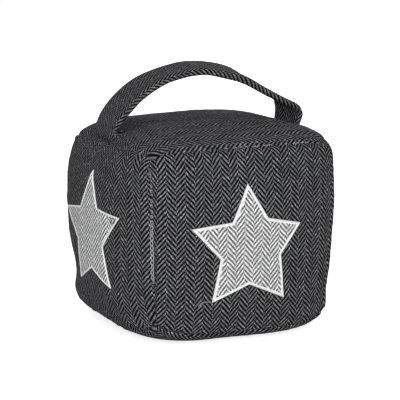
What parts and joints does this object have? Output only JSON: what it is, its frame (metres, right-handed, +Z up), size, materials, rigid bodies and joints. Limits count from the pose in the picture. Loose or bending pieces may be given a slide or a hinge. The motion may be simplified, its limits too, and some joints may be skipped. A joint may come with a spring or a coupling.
{
  "type": "door stop",
  "caption": "Filled cloth cube that holds a door open by its weight, with a carrying strap over its top and a sewn star on its front and on one side.",
  "frame": {"origin": "on the floor, under the middle of the filled cube", "axes": "+Z up; +X along the strap, to the right as the front star is seen; -Y out of the front with its star; -X out of the side with the other star"},
  "size_m": [0.1521, 0.1545, 0.1698],
  "materials": {
    "dark_cloth": "woven herringbone",
    "pale_cloth": "woven herringbone",
    "satin_thread": "satin stitch"
  },
  "bodies": {
    "root": {"filled_cube": "dark_cloth", "carrying_strap": "dark_cloth", "front_star_patch": "pale_cloth", "front_star_border": "satin_thread", "left_star_patch": "pale_cloth", "left_star_border": "satin_thread"}
  },
  "joints": []
}
